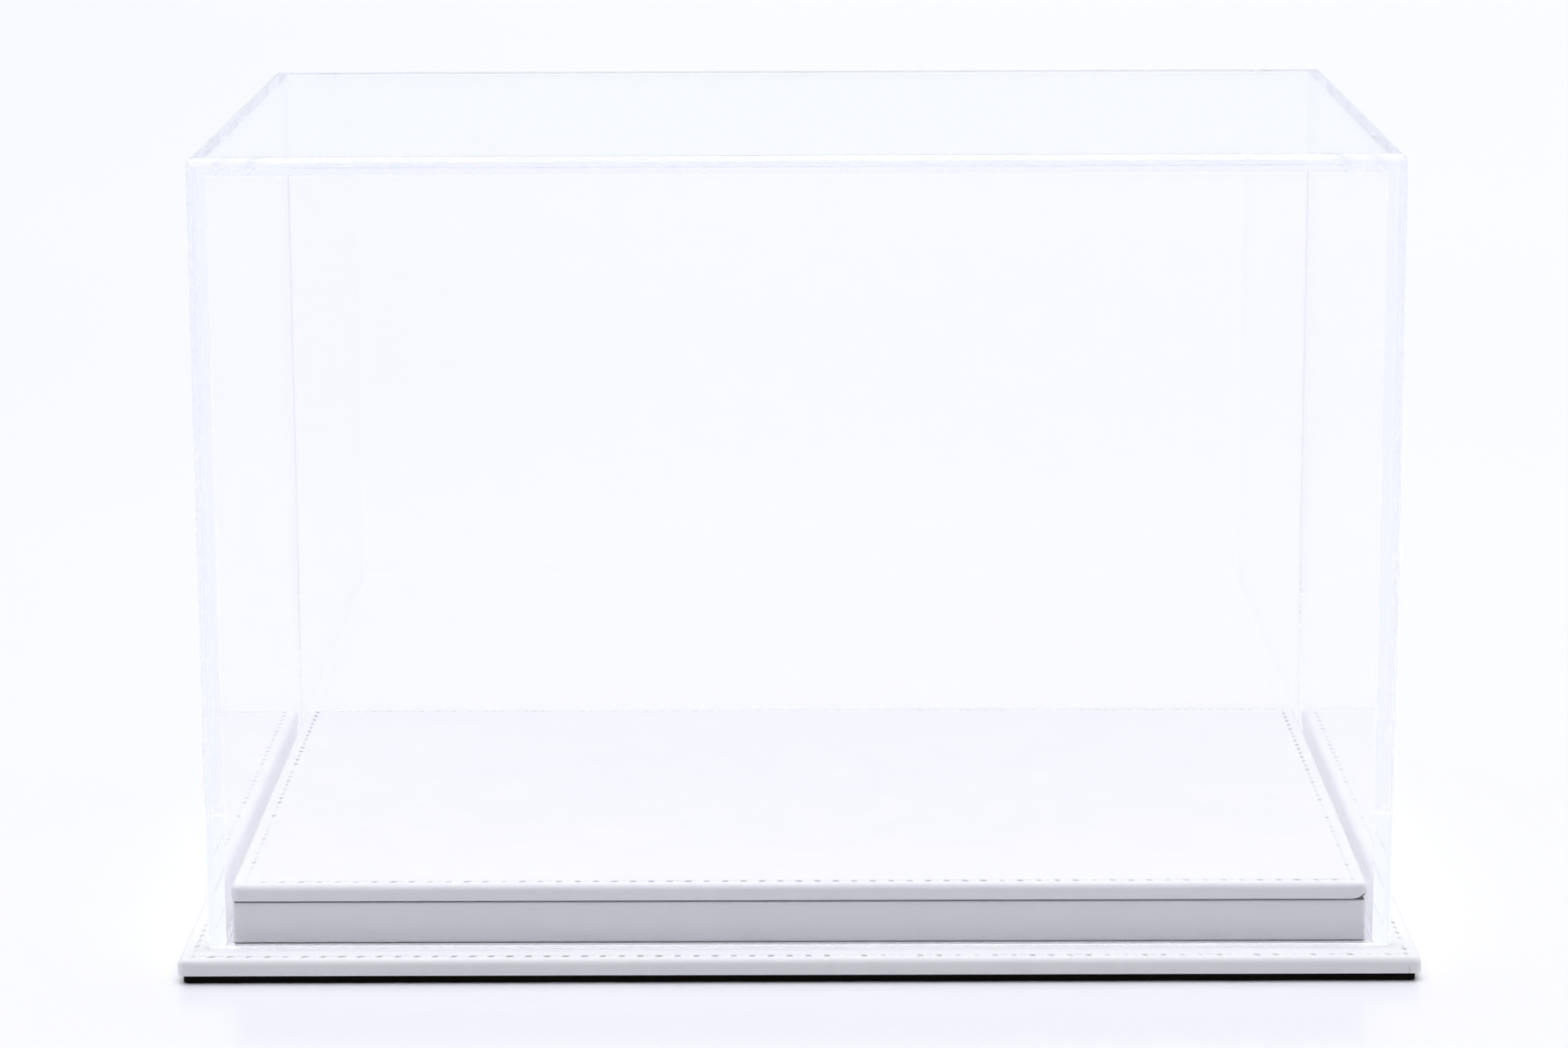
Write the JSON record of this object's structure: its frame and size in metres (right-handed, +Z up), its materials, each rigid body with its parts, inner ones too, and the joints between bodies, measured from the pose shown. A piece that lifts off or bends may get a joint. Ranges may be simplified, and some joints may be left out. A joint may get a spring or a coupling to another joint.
{
  "type": "acrylic display case",
  "caption": "Clear acrylic box cover that lifts off a two-step base of stitched white leather boards, for showing and keeping dust off a model or collectable.",
  "frame": {"origin": "middle of the base's underside, on the surface that the case stands on", "axes": "+X to the right seen from the front, +Y to the back, +Z up; the front faces -Y"},
  "size_m": [0.313, 0.22, 0.2078],
  "materials": {
    "clear_acrylic": "clear cast sheet, polished edges",
    "white_leather": "white coated leather, fine grain, low sheen",
    "white_thread": "twisted polyester sewing thread",
    "white_vinyl": "smooth white vinyl film",
    "fibreboard": "raw medium-density fibreboard",
    "black_felt": "black pressed felt",
    "zinc_steel": "zinc-plated steel"
  },
  "bodies": {
    "base": {"base_pad": "black_felt", "lower_board_core": "fibreboard", "lower_board_leather": "white_leather", "lower_board_stitching": "white_thread", "plinth_front_rail": "fibreboard", "plinth_back_rail": "fibreboard", "plinth_left_rail": "fibreboard", "plinth_right_rail": "fibreboard", "plinth_cross_rail": "fibreboard", "plinth_wrap": "white_vinyl", "deck_core": "fibreboard", "deck_leather": "white_leather", "deck_stitching": "white_thread", "base_screws": "zinc_steel"},
    "cover": {"cover_front_panel": "clear_acrylic", "cover_back_panel": "clear_acrylic", "cover_left_panel": "clear_acrylic", "cover_right_panel": "clear_acrylic", "cover_top_panel": "clear_acrylic"}
  },
  "joints": [
    {"name": "cover_lift", "type": "slide", "parent": "base", "child": "cover", "axis": [0, 0, 1], "range_m": [0, 0.22]}
  ]
}
